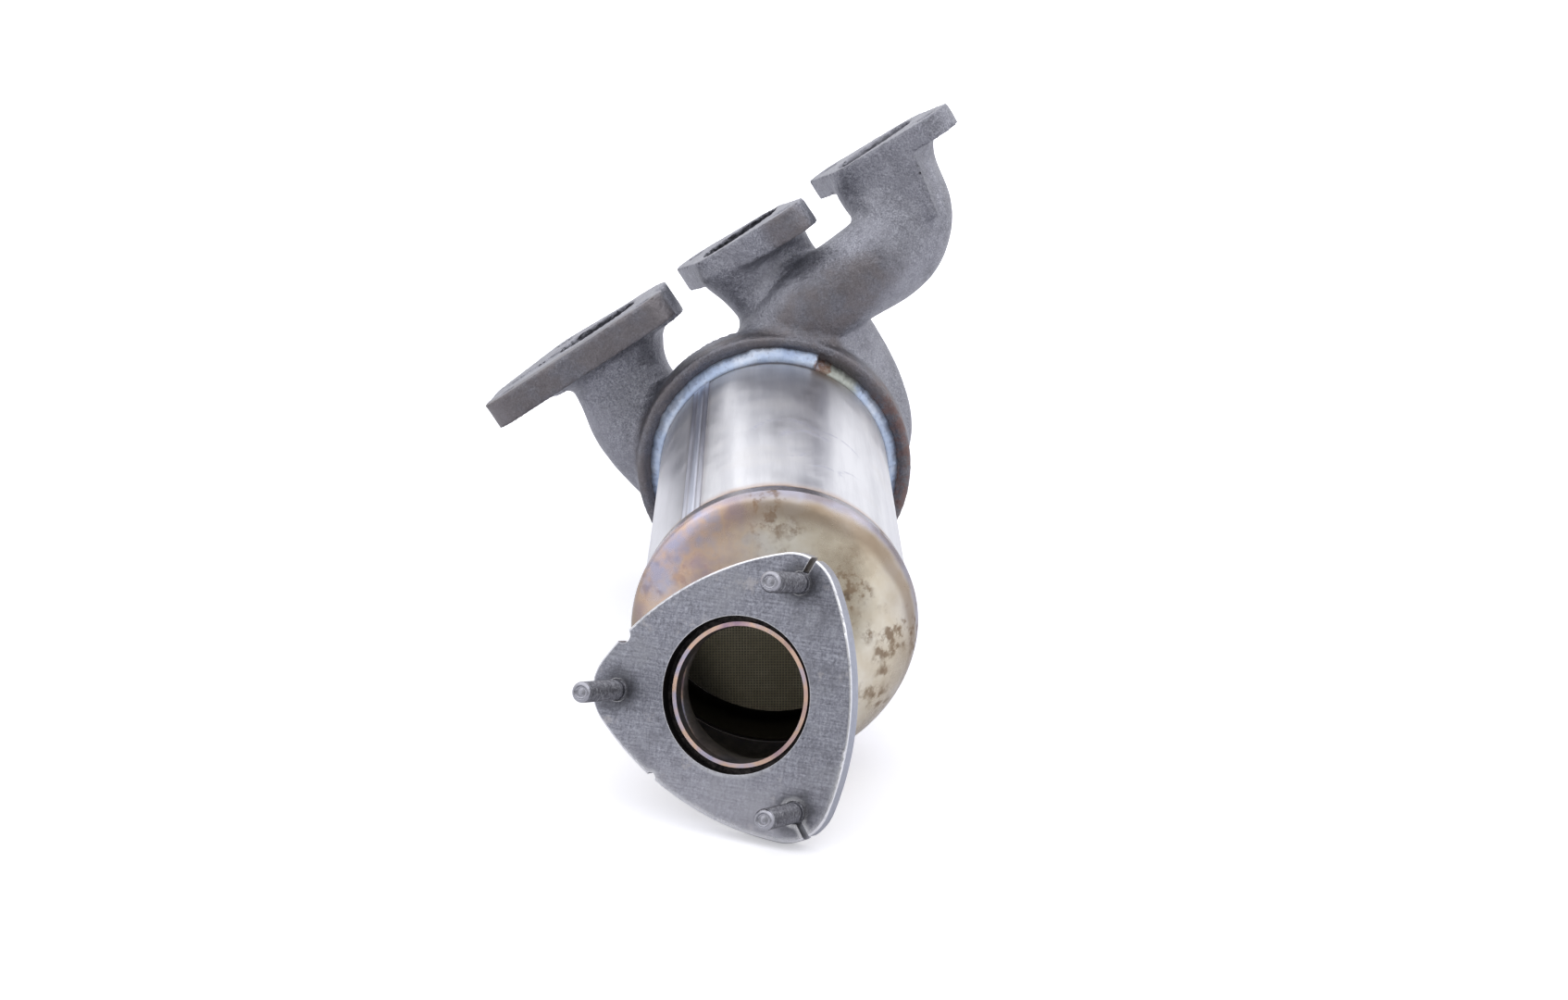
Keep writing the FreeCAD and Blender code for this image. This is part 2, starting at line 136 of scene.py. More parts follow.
# ---------------------------------------------------------------- colours
# Painted shade for the creases of the casting and the plate.
PAINTED_CREASE_SHADE = (0.05, 0.045, 0.045)

IRON_PIT, IRON_GREY, IRON_GRAIN = (0.13, 0.13, 0.148), (0.285, 0.288, 0.325), (0.54, 0.545, 0.6)
IRON_CLOUD, IRON_STAIN, IRON_WORN = (0.37, 0.37, 0.41), (0.14, 0.14, 0.16), (0.6, 0.6, 0.64)
COLLAR_DARK, COLLAR_BROWN = (0.11, 0.105, 0.115), (0.19, 0.16, 0.15)
COLLAR_RUST = (0.24, 0.12, 0.09)

CAN_DULL, CAN_BRIGHT, CAN_WARM = (0.72, 0.72, 0.75), (0.84, 0.84, 0.865), (0.72, 0.7, 0.68)
CAN_PAINTED_SHADE, CAN_STREAK, CAN_SCUFF = (0.55, 0.55, 0.62), (0.5, 0.5, 0.57), (0.42, 0.42, 0.52)
CAN_HEATED, CAN_BURNT, CAN_TINT = (0.52, 0.37, 0.28), (0.2, 0.12, 0.09), (0.5, 0.47, 0.45)
CAN_BEAD_LINE, CAN_SCORCH = (0.25, 0.2, 0.18), (0.33, 0.24, 0.17)
CAN_STRIP_TINT, CAN_INSIDE_SHADE = (0.34, 0.3, 0.3), (0.075, 0.068, 0.062)

STRIP_DULL, STRIP_BRIGHT, STRIP_BLUE = (0.62, 0.63, 0.72), (0.84, 0.85, 0.93), (0.68, 0.73, 0.86)
STRIP_GROOVE, STRIP_RIM = (0.34, 0.32, 0.36), (0.22, 0.2, 0.22)

STRAW_BROWN, STRAW, STRAW_PALE = (0.47, 0.39, 0.29), (0.64, 0.57, 0.45), (0.76, 0.72, 0.63)
RIM_BROWN, RIM_GREY = (0.31, 0.25, 0.18), (0.38, 0.34, 0.33)
SKIRT_PURPLE, SKIRT_BLUE, SKIRT_BROWN = (0.27, 0.24, 0.27), (0.36, 0.35, 0.42), (0.33, 0.28, 0.26)
SKIRT_LINE, SHELL_STAIN, SHELL_SOOT = (0.24, 0.17, 0.12), (0.2, 0.125, 0.07), (0.13, 0.1, 0.08)
PIPE_PURPLE, PIPE_COPPER, PIPE_BLUE = (0.48, 0.34, 0.42), (0.72, 0.5, 0.38), (0.46, 0.45, 0.6)
INSIDE_BLACK, INSIDE_BROWN = (0.04, 0.037, 0.037), (0.11, 0.098, 0.09)

SEAM_BROWN, SEAM_STRAW, SEAM_BLUE = (0.3, 0.2, 0.14), (0.5, 0.38, 0.28), (0.46, 0.44, 0.5)
SEAM_SHINE = (0.66, 0.6, 0.55)

BEAD_BLUE, BEAD_GREY, BEAD_SILVER = (0.36, 0.44, 0.6), (0.46, 0.54, 0.68), (0.6, 0.65, 0.74)
BEAD_PIT, BEAD_OLIVE = (0.27, 0.28, 0.36), (0.34, 0.34, 0.25)
BEAD_ORANGE, BEAD_HOLLOW_SHADE = (0.16, 0.085, 0.055), (0.12, 0.1, 0.1)

PLATE_DARK, PLATE_GREY, PLATE_LIGHT = (0.13, 0.13, 0.15), (0.295, 0.3, 0.345), (0.52, 0.53, 0.59)
PLATE_CLOUD, PLATE_RUBBED, PLATE_PAINTED_SHEEN = (0.34, 0.345, 0.37), (0.56, 0.53, 0.53), (0.5, 0.49, 0.54)
PLATE_OIL, PLATE_NICK, PLATE_WORN_AND_HIGHLIGHT = (0.06, 0.062, 0.07), (0.75, 0.75, 0.76), (0.88, 0.88, 0.9)
PLATE_SIDE, PLATE_BORE_SHADE = (0.5, 0.53, 0.62), (0.03, 0.028, 0.03)

NECK_BLACK, NECK_GREY = (0.014, 0.013, 0.014), (0.06, 0.052, 0.05)
STUD_BLACK, STUD_DARK, STUD_GREY = (0.09, 0.09, 0.1), (0.16, 0.16, 0.18), (0.3, 0.3, 0.32)
STUD_TOP, STUD_WORN = (0.4, 0.4, 0.44), (0.6, 0.57, 0.55)
BRICK_CELL, BRICK_PAINTED_SHADOW = (0.46, 0.41, 0.28), (0.05, 0.045, 0.04)
BRICK_WALL, BRICK_PALE = (0.72, 0.65, 0.46), (0.86, 0.79, 0.6)
MAT_GREY, MAT_PALE = (0.42, 0.4, 0.35), (0.74, 0.71, 0.64)
FLOOR_COLOUR, FLOOR_WHITE = (0.86, 0.86, 0.885), (0.97, 0.97, 1.0)

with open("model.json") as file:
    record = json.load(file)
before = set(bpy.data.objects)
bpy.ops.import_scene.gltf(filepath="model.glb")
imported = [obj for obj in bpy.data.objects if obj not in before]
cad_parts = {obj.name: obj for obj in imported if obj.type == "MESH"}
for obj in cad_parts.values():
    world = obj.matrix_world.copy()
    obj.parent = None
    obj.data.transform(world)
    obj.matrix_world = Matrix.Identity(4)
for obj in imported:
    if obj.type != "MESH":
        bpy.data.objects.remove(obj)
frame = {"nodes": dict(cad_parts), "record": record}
cad_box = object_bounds()
nodes = frame["nodes"]
mounts = {mount["name"]: mount for mount in frame["record"]["mounts"]}


# ---------------------------------------------------------------- places on the part
def points_of(obj):
    """World places of an object's vertices, as an array. The frame's objects sit at the origin."""
    flat = np.empty(len(obj.data.vertices) * 3)
    obj.data.vertices.foreach_get("co", flat)
    return flat.reshape(-1, 3)


def reach_along(points, start, axis):
    """How far each point lies past start along axis."""
    return (points - np.array(start)) @ np.array(axis)


def round_can(point):
    """The turn of a place round the can."""
    away = Vector(point) - can_middle
    away.rotate(Euler((-CAN_RISE, 0, 0)))
    return math.atan2(away.z, away.x)


def along_can(name):
    """Where a node starts and ends along the can, measured from the can's middle."""
    reach = reach_along(points_of(nodes[name]), can_middle, can_axis)
    return reach.min(), reach.max()


def stud_place(name):
    """Where a stud's axis leaves the plate's front face."""
    points = points_of(nodes[name])
    reach = reach_along(points, outlet_face, outlet_axis)
    back = points[np.abs(reach - reach.min()) < SAME_PLANE].mean(axis=0)
    return Vector(back) - outlet_axis * reach.min()


can_low, can_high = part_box("Can_Shell")
can_middle = (can_low + can_high) / 2
can_axis = Vector((0, math.cos(CAN_RISE), math.sin(CAN_RISE)))
can_radius = (can_high.x - can_low.x) / 2

head_place = Vector(mounts["head_face"]["pos_m"])
head_axis = Vector(mounts["head_face"]["axis"])

outlet_face = Vector(mounts["outlet_studs"]["pos_m"])
outlet_axis = Vector(mounts["outlet_studs"]["axis"])
outlet_quat = outlet_axis.to_track_quat("Z", "Y")
level_side = outlet_axis.cross(Vector((0, 0, 1))).normalized()
level_side.rotate(outlet_quat.inverted())
plate_turn = math.atan2(level_side.y, level_side.x)
studs = [stud_place(name) for name in ("Stud_Upper", "Stud_Left", "Stud_Lower")]

seam_start, seam_end = along_can("Outlet_Seam_Weld")
bead_start, bead_end = along_can("Inlet_Weld")
collar_start = along_can("Inlet_Manifold")[0]
strip_points = points_of(nodes["Can_Seam_Weld"])
strip_turn = round_can(strip_points.mean(axis=0))
strip_half = max(abs(round_can(point) - strip_turn) for point in strip_points)

# A place inside the outlet dome: on the pipe's axis, level with the seam.
seam_middle = can_middle + can_axis * seam_start
shell_heart = outlet_face - outlet_axis * (outlet_face - seam_middle).dot(outlet_axis)


# ---------------------------------------------------------------- node trees
def colour(value):
    """A colour socket's value from (r, g, b) or a socket."""
    return value if isinstance(value, bpy.types.NodeSocket) else (*value, 1)


class Nodes:
    """Short calls that add nodes to one tree and return their output sockets."""

    def __init__(self, tree):
        self.tree = tree

    def feed(self, socket, value):
        """Links a socket to an input, or sets the input to a plain value."""
        if isinstance(value, bpy.types.NodeSocket):
            self.tree.links.new(value, socket)
        else:
            socket.default_value = value

    def node(self, kind, values=(), **settings):
        """A new node, with its inputs fed from values and its own settings."""
        made = self.tree.nodes.new("ShaderNode" + kind)
        for key, value in settings.items():
            setattr(made, key, value)
        for key, value in dict(values).items():
            self.feed(made.inputs[key], value)
        return made

    def calc(self, operation, a, b=0.0, clamp=False):
        return self.node("Math", {0: a, 1: b}, operation=operation, use_clamp=clamp).outputs[0]

    def add(self, a, b):
        return self.calc("ADD", a, b)

    def times(self, a, b):
        return self.calc("MULTIPLY", a, b)

    def inverse(self, a):
        return self.calc("SUBTRACT", 1.0, a, clamp=True)

    def apart(self, a, b):
        """How far a is from the number b."""
        return self.calc("ABSOLUTE", self.add(a, -b))

    def length(self, x, y):
        return self.calc("SQRT", self.add(self.times(x, x), self.times(y, y)))

    def dot(self, a, b):
        return self.node("VectorMath", {0: a, 1: b}, operation="DOT_PRODUCT").outputs["Value"]

    def split(self, vector):
        return self.node("SeparateXYZ", {0: vector}).outputs

    def either(self, mask, *others):
        """The highest of some masks."""
        for other in others:
            mask = self.calc("MAXIMUM", mask, other)
        return mask

    def blend(self, amount, a, b):
        """Number a where amount is 0, number b where it is 1."""
        return self.node("Mix", {0: amount, 2: a, 3: b}, data_type="FLOAT").outputs[0]

    def mix(self, amount, a, b):
        """Colour a where amount is 0, colour b where it is 1."""
        return self.node("Mix", {0: amount, 6: colour(a), 7: colour(b)},
                         data_type="RGBA").outputs[2]

    def paint(self, tone, other, mask, share=1.0):
        """The tone with a share of the other colour over it where the mask is 1."""
        return self.mix(self.times(mask, share), tone, other)

    def ramp(self, value, *stops):
        """A colour from (value, colour) stops."""
        made = self.node("ValToRGB", {0: value})
        keys = made.color_ramp.elements
        for index, (at, tone) in enumerate(stops):
            key = keys[index] if index < 2 else keys.new(at)
            key.position, key.color = at, colour(tone)
        return made.outputs[0]

    def step(self, value, low, high):
        """0 below low, 1 above high and smooth between; low may be the larger."""
        made = self.node("MapRange", {"Value": value, "From Min": low, "From Max": high},
                         interpolation_type="SMOOTHSTEP")
        return made.outputs[0]

    def band(self, value, start, end, soft):
        """1 between start and end, fading over soft outside them."""
        rise = self.step(value, start - soft, start)
        return self.times(rise, self.step(value, end + soft, end))


class Shader(Nodes):
    """A Principled material on a tree. Its sizes and places are in the frame's metres."""

    def __init__(self, name, **sockets):
        self.material = bpy.data.materials.new(name)
        self.material.use_nodes = True
        super().__init__(self.material.node_tree)
        self.surface = self.tree.nodes["Principled BSDF"]
        for key, value in sockets.items():
            self.set(key.replace("_", " "), value)
        self.place = self.node("TexCoord").outputs["Object"]

    def set(self, key, value):
        self.feed(self.surface.inputs[key], value)

    def turned(self, place=(0, 0, 0), turn=(0, 0, 0), stretch=(1, 1, 1), where=None):
        """Coordinates from a place, in turned axes, then shrunk along each by stretch."""
        values = {"Vector": where or self.place, "Location": place, "Rotation": turn,
                  "Scale": stretch}
        return self.node("Mapping", values, vector_type="TEXTURE").outputs[0]

    def on_plate(self):
        """Coordinates from the middle of the outlet plate's face, the third along its axis."""
        return self.turned(place=outlet_face, turn=outlet_quat.to_euler())

    def noise(self, size, detail=3.0, rough=0.55, where=None, swirl=0.0):
        """Noise from 0 to 1 whose lumps are about size across."""
        made = self.node("TexNoise", {"Vector": where or self.place, "Scale": 1 / size,
                                      "Detail": detail, "Roughness": rough, "Distortion": swirl})
        return made.outputs[0]

    def patches(self, size, low, high, detail=3.0, rough=0.55):
        """Random patches: 0 where noise is below low, 1 where it is above high."""
        return self.step(self.noise(size, detail, rough), low, high)

    def ragged(self, value, reach, size, detail=3.0, rough=0.55):
        """The value moved by noise within reach, so that edges drawn by it are ragged."""
        return self.add(value, self.times(self.add(self.noise(size, detail, rough), -0.5), reach))

    def spots(self, size):
        """The distance to the nearest of some random spots about size apart."""
        made = self.node("TexVoronoi", {"Vector": self.place, "Scale": 1 / size})
        return made.outputs["Distance"]

    def facing(self):
        return self.node("NewGeometry").outputs["Normal"]

    def edges(self, radius, low=0.02, high=0.3):
        """1 on edges and corners within radius, 0 on open faces."""
        rounded = self.node("Bevel", {"Radius": radius}, samples=6).outputs[0]
        return self.step(self.inverse(self.dot(rounded, self.facing())), low, high)

    def hollows(self, reach, low=0.35, high=0.9):
        """1 deep in creases, 0 in the open."""
        shade = self.node("AmbientOcclusion", {"Distance": reach}, samples=8).outputs["AO"]
        return self.step(shade, high, low)

    def bump(self, *layers):
        """Stacks (height value, depth) layers into the normal."""
        normal = None
        for height, depth in layers:
            values = {"Height": height, "Distance": depth, "Strength": 1.0}
            if normal:
                values["Normal"] = normal
            normal = self.node("Bump", values).outputs[0]
        self.set("Normal", normal)


class CanShader(Shader):
    """A shader with coordinates about the can: across, along, up, turn and radius."""

    def __init__(self, name, **sockets):
        super().__init__(name, **sockets)
        self.across, self.along, self.up = self.split(self.turned(place=can_middle,
                                                                  turn=(CAN_RISE, 0, 0)))
        self.turn = self.calc("ARCTAN2", self.up, self.across)
        self.radius = self.length(self.across, self.up)
        skin = {0: self.times(self.turn, can_radius), 1: self.along, 2: self.radius}
        self.unrolled = self.node("CombineXYZ", skin).outputs[0]


# ---------------------------------------------------------------- materials
def cast_iron():
    """Grainy grey iron, pale on worn edges, with painted shade in its creases, and browned round
    the collar.
    """
    s = CanShader("sand_cast_iron", Metallic=0.9)
    lumps = s.noise(0.0024, 4, 0.6)
    grain = s.noise(0.0008, 3, 0.7)
    tone = s.ramp(s.blend(0.25, grain, lumps), (0.3, IRON_PIT), (0.5, IRON_GREY), (0.7, IRON_GRAIN))
    tone = s.paint(tone, IRON_CLOUD, s.patches(0.03, 0.4, 0.68, 4), 0.45)
    tone = s.paint(tone, IRON_STAIN, s.patches(0.012, 0.5, 0.7, 4, 0.6), 0.35)
    worn = s.times(s.edges(0.0018), s.patches(0.004, 0.3, 0.58))
    tone = s.paint(tone, IRON_WORN, worn, 0.7)
    # Painted shade deep in the casting's creases.
    tone = s.paint(tone, PAINTED_CREASE_SHADE, s.hollows(0.008), 0.65)

    # The collar is dark and browned, and rusty at its lower right.
    collar = s.band(s.along, collar_start, collar_start + 0.012, 0.006)
    tone = s.paint(tone, COLLAR_DARK, collar, 0.5)
    brown = s.times(collar, s.patches(0.014, 0.35, 0.6, 4, 0.6))
    tone = s.paint(tone, COLLAR_BROWN, brown, 0.45)
    low_right = s.band(s.turn, -0.25, 0.5, 0.3)
    rust = s.times(s.times(collar, low_right), s.patches(0.006, 0.42, 0.6, 4, 0.7))
    s.set("Base Color", s.paint(tone, COLLAR_RUST, rust, 0.5))
    s.set("Roughness", s.blend(worn, s.blend(grain, 0.32, 0.58), 0.32))
    s.bump((s.noise(0.008), 0.0008), (lumps, 0.0006), (grain, 0.00022))
    return s.material


def scuff_marks(s):
    """A mask of the rub marks on the can."""
    across_skin, along_skin, _ = s.split(s.unrolled)
    marks = []
    for turn, reach, radius, width, start, end in SCUFFS_MM:
        x = s.add(across_skin, -math.radians(turn) * can_radius)
        y = s.add(along_skin, -(seam_start + reach * MM))
        gap = s.apart(s.length(x, y), radius * MM)
        angle = s.calc("ARCTAN2", y, x)
        first, last = (math.radians(a if a <= 180 else a - 360) for a in (start, end))
        marks.append(s.times(s.step(gap, width * MM, 0.0), s.band(angle, first, last, 0.35)))
    return s.times(s.either(*marks), s.patches(0.004, 0.36, 0.6, 4, 0.7))


def rolled_steel():
    """The can: streaked bright stainless, tinted by heat at its welds, rubbed here and there, with
    painted shade in a band and on its inside.
    """
    s = CanShader("rolled_stainless", Metallic=1.0)
    rolled = s.turned(stretch=(1, 12, 1), where=s.unrolled)
    streaks = s.noise(0.006, 4, 0.6, rolled)
    fine = s.noise(0.0009, 2, 0.6, rolled)
    cloud = s.noise(0.035, 4, 0.6)
    tone = s.mix(s.step(streaks, 0.35, 0.65), CAN_DULL, CAN_BRIGHT)
    tone = s.paint(tone, CAN_WARM, s.step(cloud, 0.5, 0.72), 0.4)
    # Painted shade: a darker band over the can's upper right.
    painted_shade_band = s.band(s.turn, math.radians(52), math.radians(68), 0.35)
    tone = s.paint(tone, CAN_PAINTED_SHADE, painted_shade_band, 0.2)
    left = s.band(s.turn, math.radians(136), math.radians(165), 0.2)
    tone = s.paint(tone, CAN_STREAK, s.times(left, s.step(streaks, 0.4, 0.6)), 0.15)

    # Heat tints beside the outlet seam, the inlet weld and its end, and the strip.
    ragged = s.ragged(s.along, 0.006, 0.012)
    brown = s.band(ragged, seam_end - 0.002, seam_end + 0.0012, 0.008)
    tone = s.paint(tone, CAN_HEATED, brown, 0.7)
    burnt = s.band(ragged, seam_end, seam_end + 0.0012, 0.002)
    tone = s.paint(tone, CAN_BURNT, burnt, 0.6)
    tint = s.step(ragged, bead_start - 0.018, bead_start)
    tone = s.paint(tone, CAN_TINT, tint, 0.4)
    bead_line = s.band(ragged, bead_start - 0.0005, bead_start, 0.0015)
    tone = s.paint(tone, CAN_BEAD_LINE, bead_line, 0.5)
    stop = math.radians(BEAD_STOP_DEG)
    by_stop = s.band(s.turn, stop - 0.16, stop - 0.02, 0.12)
    scorch = s.times(by_stop, s.step(ragged, bead_start - 0.012, bead_start))
    tone = s.paint(tone, CAN_SCORCH, scorch, 0.6)
    by_strip = s.band(s.turn, strip_turn - strip_half, strip_turn + strip_half, 0.05)
    tone = s.paint(tone, CAN_STRIP_TINT, by_strip, 0.35)

    scuffs = scuff_marks(s)
    tone = s.paint(tone, CAN_SCUFF, scuffs, 0.5)
    # Painted shade on the can's inside: near black within its skin.
    inside_shade = s.step(s.radius, can_radius - 0.0003, can_radius - 0.0006)
    s.set("Base Color", s.paint(tone, CAN_INSIDE_SHADE, inside_shade))
    rough = s.blend(s.step(cloud, 0.3, 0.7), 0.3, 0.42)
    rough = s.blend(s.times(scuffs, 0.6), rough, 0.5)
    s.set("Roughness", s.blend(s.either(brown, tint), rough, 0.44))
    s.bump((s.noise(0.04, 2), 0.0004), (streaks, 0.00005), (fine, 0.000012))
    return s.material


def strip_weld():
    """The flattened weld along the can: bluish down its middle, with a dark groove and rim."""
    s = CanShader("planished_seam", Metallic=1.0)
    cloud = s.noise(0.004, 4, 0.6, s.turned(stretch=(1, 14, 1), where=s.unrolled))
    tone = s.mix(s.step(cloud, 0.35, 0.65), STRIP_DULL, STRIP_BRIGHT)
    sway = s.apart(s.turn, strip_turn)
    middle = s.step(sway, strip_half * 0.42, strip_half * 0.1)
    tone = s.paint(tone, STRIP_BLUE, middle, 0.5)
    groove = s.band(sway, strip_half * 0.42, strip_half * 0.5, strip_half * 0.12)
    tone = s.paint(tone, STRIP_GROOVE, groove, 0.4)
    rim = s.step(sway, strip_half * 0.86, strip_half)
    s.set("Base Color", s.paint(tone, STRIP_RIM, rim, 0.6))
    s.set("Roughness", s.blend(cloud, 0.24, 0.4))
    ripple = s.noise(0.0022, 2, 0.5, s.turned(stretch=(2.5, 0.6, 1), where=s.unrolled))
    s.bump((middle, 0.0003), (ripple, 0.00012))
    return s.material


def tinted_steel():
    """The outlet shell: straw heat tint, brown stains, purple at its rim and its pipe's end."""
    s = CanShader("heat_tinted_stainless", Metallic=1.0)
    cloud = s.noise(0.03, 5, 0.6)
    fine = s.noise(0.005, 5, 0.65)
    tone = s.ramp(cloud, (0.3, STRAW_BROWN), (0.48, STRAW), (0.66, STRAW_PALE))
    rim = s.step(s.ragged(s.radius, 0.016, 0.02, 4, 0.6), can_radius * 0.78, can_radius)
    rim_tone = s.ramp(s.noise(0.03), (0.38, RIM_BROWN), (0.6, RIM_GREY))
    tone = s.paint(tone, rim_tone, rim, 0.5)

    # The skirt beside the seam is purple and blue, with a brown line where it begins.
    sway = s.ragged(s.along, 0.003, 0.015)
    skirt = s.step(sway, seam_start - 0.0125, seam_start - 0.009)
    skirt_tone = s.ramp(s.noise(0.02, 3, 0.5, s.unrolled),
                        (0.35, SKIRT_PURPLE), (0.5, SKIRT_BLUE), (0.68, SKIRT_BROWN))
    tone = s.paint(tone, skirt_tone, skirt, 0.9)
    skirt_line = s.band(sway, seam_start - 0.0145, seam_start - 0.0125, 0.0025)
    tone = s.paint(tone, SKIRT_LINE, skirt_line, 0.55)

    stains = s.times(s.step(fine, 0.45, 0.62), s.patches(0.024, 0.48, 0.62, 4, 0.6))
    tone = s.paint(tone, SHELL_STAIN, stains, 0.75)
    soot_and_shadow = s.times(s.step(s.spots(0.016), 0.2, 0.04), s.step(fine, 0.4, 0.6))
    tone = s.paint(tone, SHELL_SOOT, soot_and_shadow, 0.75)
    depth = s.split(s.on_plate())[2]
    end_tone = s.ramp(s.noise(0.014, 3, 0.5),
                      (0.35, PIPE_PURPLE), (0.5, PIPE_COPPER), (0.65, PIPE_BLUE))
    tone = s.paint(tone, end_tone, s.step(depth, -0.018, -0.0065))

    # The inside is what faces the heart of the dome. Its near-black colour is partly soot and
    # partly painted shade.
    from_heart = s.node("VectorMath", {0: s.place, 1: shell_heart}, operation="SUBTRACT").outputs[0]
    inside = s.step(s.dot(from_heart, s.facing()), 0.002, -0.002)
    inside_tone = s.ramp(fine, (0.35, INSIDE_BLACK), (0.65, INSIDE_BROWN))
    s.set("Base Color", s.paint(tone, inside_tone, inside, 0.93))
    s.set("Metallic", s.blend(inside, 1.0, 0.6))
    s.set("Roughness", s.blend(s.either(stains, inside), s.blend(cloud, 0.2, 0.36), 0.55))
    s.bump((s.noise(0.026, 2), 0.0006), (fine, 0.00006))
    return s.material


def seam_weld():
    """The rippled weld between the can and the outlet shell, brown and blue from its heat."""
    s = CanShader("brown_seam_weld", Metallic=1.0)
    ripple = s.noise(0.0014, 2, 0.5, s.turned(stretch=(0.7, 3, 3), where=s.unrolled))
    tone = s.ramp(s.noise(0.01, 4, 0.6), (0.35, SEAM_BROWN), (0.55, SEAM_STRAW), (0.7, SEAM_BLUE))
    s.set("Base Color", s.paint(tone, SEAM_SHINE, s.step(ripple, 0.5, 0.65), 0.35))
    s.set("Roughness", s.blend(ripple, 0.25, 0.45))
    s.bump((ripple, 0.0003))
    return s.material


def bead_steel():
    """The inlet weld: silvery blue, with an orange and an olive patch beside its end, and painted
    shade in its hollows.
    """
    s = CanShader("silver_weld_bead", Metallic=1.0)
    fine = s.noise(0.0016, 4, 0.65)
    tone = s.ramp(s.noise(0.012, 4, 0.6), (0.3, BEAD_BLUE), (0.5, BEAD_GREY), (0.68, BEAD_SILVER))
    tone = s.paint(tone, BEAD_PIT, s.step(fine, 0.56, 0.68), 0.5)
    sway = s.ragged(s.turn, 0.12, 0.004)
    stop = math.radians(BEAD_STOP_DEG)
    olive = s.band(sway, stop - 0.32, stop - 0.1, 0.14)
    tone = s.paint(tone, BEAD_OLIVE, olive, 0.75)
    orange = s.band(sway, stop - 0.1, stop - 0.012, 0.035)
    tone = s.paint(tone, BEAD_ORANGE, orange, s.blend(s.step(fine, 0.35, 0.6), 0.6, 0.9))
    # Painted shade in the hollows along the bead's edges.
    s.set("Base Color", s.paint(tone, BEAD_HOLLOW_SHADE, s.hollows(0.003, 0.3, 0.8), 0.7))
    s.set("Roughness", s.blend(fine, 0.38, 0.6))
    s.bump((fine, 0.00018))
    return s.material


def flange_steel():
    """The blanked plate: rubbed grey face, oil round the studs, worn edges, a painted highlight on
    its rolled edge, painted sheen near its top and painted shade in its bore and creases.
    """
    s = Shader("blanked_plate", Metallic=1.0)
    plate = s.on_plate()
    level = s.turned(turn=(0, 0, plate_turn), where=plate)
    long_lines = s.noise(0.0008, 3, 0.6, s.turned(stretch=(14, 1, 1), where=level))
    short_lines = s.noise(0.0011, 3, 0.6, s.turned(stretch=(1, 5, 1), where=level))
    lines = s.blend(0.4, long_lines, short_lines)
    cloud = s.noise(0.022, 5, 0.65)
    grain = s.noise(0.0009, 4, 0.75)
    tone = s.ramp(s.blend(0.5, grain, lines),
                  (0.36, PLATE_DARK), (0.5, PLATE_GREY), (0.64, PLATE_LIGHT))
    tone = s.paint(tone, PLATE_CLOUD, s.step(cloud, 0.42, 0.7), 0.5)
    tone = s.paint(tone, PLATE_DARK, s.patches(0.015, 0.52, 0.7, 4, 0.65), 0.4)
    tone = s.paint(tone, PLATE_RUBBED, s.patches(0.01, 0.58, 0.72, 4, 0.7), 0.55)
    # Painted sheen: the plate's upper part is lighter.
    upper = s.step(s.split(level)[1], 0.012, 0.05)
    tone = s.paint(tone, PLATE_PAINTED_SHEEN, upper, 0.4)

    oil = []
    for stud in studs:
        from_stud = s.node("VectorMath", {0: s.place, 1: stud}, operation="DISTANCE")
        ragged = s.ragged(from_stud.outputs["Value"], 0.006, 0.006)
        oil.append(s.step(ragged, 0.0115, 0.0055))
    tone = s.paint(tone, PLATE_OIL, s.either(*oil), 0.65)
    nicks = s.step(s.spots(0.011), 0.045, 0.02)
    tone = s.paint(tone, PLATE_NICK, nicks, 0.8)

    # Bright worn metal on the edges, and a painted highlight on the rolled rim, which is widest at
    # the top.
    front = s.dot(s.facing(), outlet_axis)
    roll = s.band(front, 0.2, 0.9, 0.08)
    painted_roll_highlight = s.times(s.edges(0.0035, 0.005, 0.05), s.times(upper, s.step(front, 0.7, 0.95)))
    bright = s.either(s.edges(0.0008, 0.01, 0.2), roll, painted_roll_highlight)
    worn = s.times(bright, s.patches(0.004, 0.2, 0.45))
    tone = s.paint(tone, PLATE_WORN_AND_HIGHLIGHT, worn, 0.85)
    side = s.band(front, -0.2, 0.2, 0.05)
    tone = s.paint(tone, PLATE_SIDE, side, 0.6)
    x, y, _ = s.split(plate)
    # Painted shade: the bore's wall is near black.
    bore = s.times(side, s.step(s.length(x, y), *BORE_REACH))
    tone = s.paint(tone, PLATE_BORE_SHADE, bore)
    # Painted shade deep in the plate's creases.
    s.set("Base Color", s.paint(tone, PAINTED_CREASE_SHADE, s.hollows(0.006), 0.6))
    s.set("Roughness", s.blend(worn, s.blend(grain, 0.34, 0.52), 0.2))
    s.bump((cloud, 0.0003), (lines, 0.00007), (grain, 0.00007), (nicks, 0.0002))
    return s.material


def neck_weld():
    """The weld between the pipe and the plate, near black."""
    s = Shader("dark_neck_weld", Metallic=0.9)
    lumps = s.noise(0.002)
    s.set("Base Color", s.ramp(lumps, (0.35, NECK_BLACK), (0.65, NECK_GREY)))
    s.set("Roughness", s.blend(lumps, 0.4, 0.6))
    s.bump((lumps, 0.0004))
    return s.material


